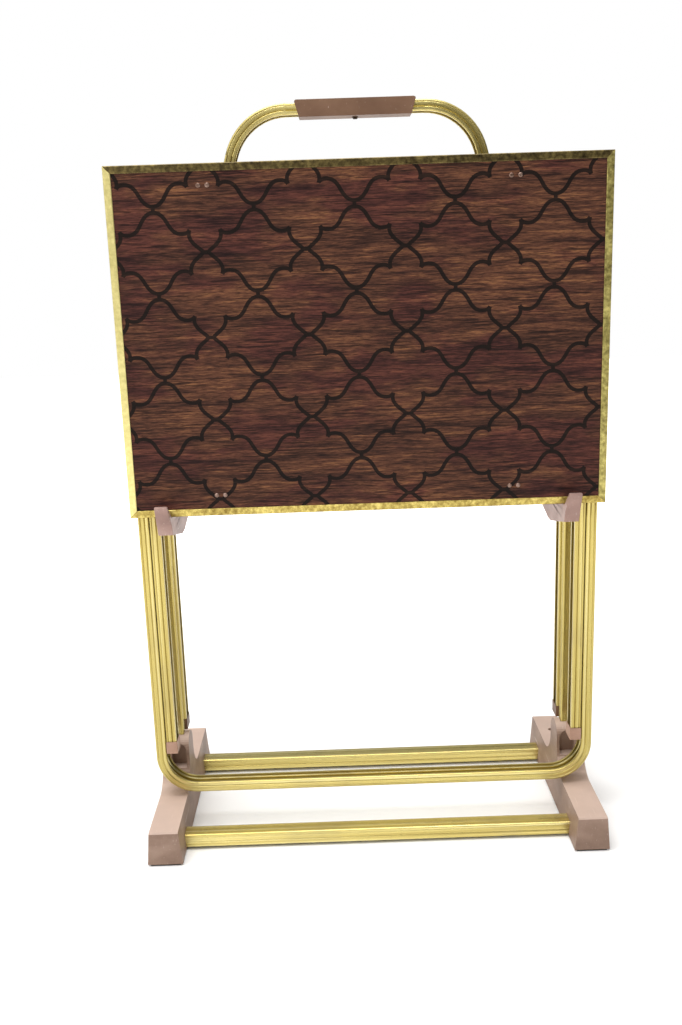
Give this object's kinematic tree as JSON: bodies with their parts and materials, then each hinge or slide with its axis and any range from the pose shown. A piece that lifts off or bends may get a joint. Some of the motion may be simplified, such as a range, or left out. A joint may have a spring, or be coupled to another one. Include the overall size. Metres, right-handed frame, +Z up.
{
  "type": "folding tray table",
  "caption": "Folding tray table with a framed wood-grain top and crossed channel legs, stored upright on a handled stand with double-sided hooks.",
  "frame": {"origin": "on the floor, midway between the stand's two feet and midway between their front and rear ends", "axes": "+Z up; the stored tray faces -Y; +X to the right seen from the front"},
  "size_m": [0.5588, 0.29, 0.8835],
  "materials": {
    "brass_channel": "brass-coloured rolled channel, satin, with fine lengthwise scratches",
    "antique_trim": "mottled antique brass edge trim, semi-gloss",
    "rose_plastic": "moulded rose-brown plastic, satin, scuffed",
    "brown_plastic": "moulded brown plastic, satin",
    "wood_laminate": "printed red-brown wood grain with a near-black lattice, low sheen",
    "fibre_board": "brown fibre board, matt",
    "steel_fastener": "dull plated steel",
    "dark_screw": "dark plated screw",
    "dark_pad": "black pad"
  },
  "bodies": {
    "stand": {"left_foot": "rose_plastic", "right_foot": "rose_plastic", "foot_pads": "dark_pad", "front_crossbar": "brass_channel", "rear_crossbar": "brass_channel", "crossbar_screws": "steel_fastener", "left_post": "brass_channel", "right_post": "brass_channel", "post_screws": "steel_fastener", "left_hook": "rose_plastic", "right_hook": "rose_plastic", "hook_bolts": "steel_fastener", "hook_nuts": "steel_fastener", "handle_frame": "brass_channel", "handle_end_caps": "brown_plastic", "handle_grip": "brown_plastic", "grip_screw": "dark_screw"},
    "tray": {"tray_board": "fibre_board", "tray_laminate": "wood_laminate", "trim_top": "antique_trim", "trim_bottom": "antique_trim", "trim_left": "antique_trim", "trim_right": "antique_trim", "upper_left_clip": "brown_plastic", "upper_right_clip": "brown_plastic", "lower_left_clip": "brown_plastic", "lower_right_clip": "brown_plastic", "clip_rivets": "steel_fastener"},
    "inner_legs": {"inner_leg_frame": "brass_channel", "inner_leg_tips": "rose_plastic", "scissor_rivets": "steel_fastener", "scissor_spacers": "brown_plastic"},
    "outer_legs": {"outer_leg_frame": "brass_channel", "outer_leg_tips": "rose_plastic"}
  },
  "joints": [
    {"name": "tray_lift", "type": "slide", "parent": "stand", "child": "tray", "axis": [0, -0.6428, 0.766], "range_m": [0, 1.2]},
    {"name": "inner_leg_hinge", "type": "hinge", "parent": "tray", "child": "inner_legs", "pos_m": [0, -0.048, 0.772], "axis": [1, 0, 0], "range_deg": [0, 61.02]},
    {"name": "scissor_pivot", "type": "hinge", "parent": "inner_legs", "child": "outer_legs", "pos_m": [0, -0.048, 0.4145], "axis": [1, 0, 0], "range_deg": [-122.04, 0]}
  ],
  "couplings": [
    {"joint": "inner_leg_hinge", "follows": "tray_lift", "rad_per_m": 0.8867},
    {"joint": "scissor_pivot", "follows": "tray_lift", "rad_per_m": -1.7734}
  ]
}
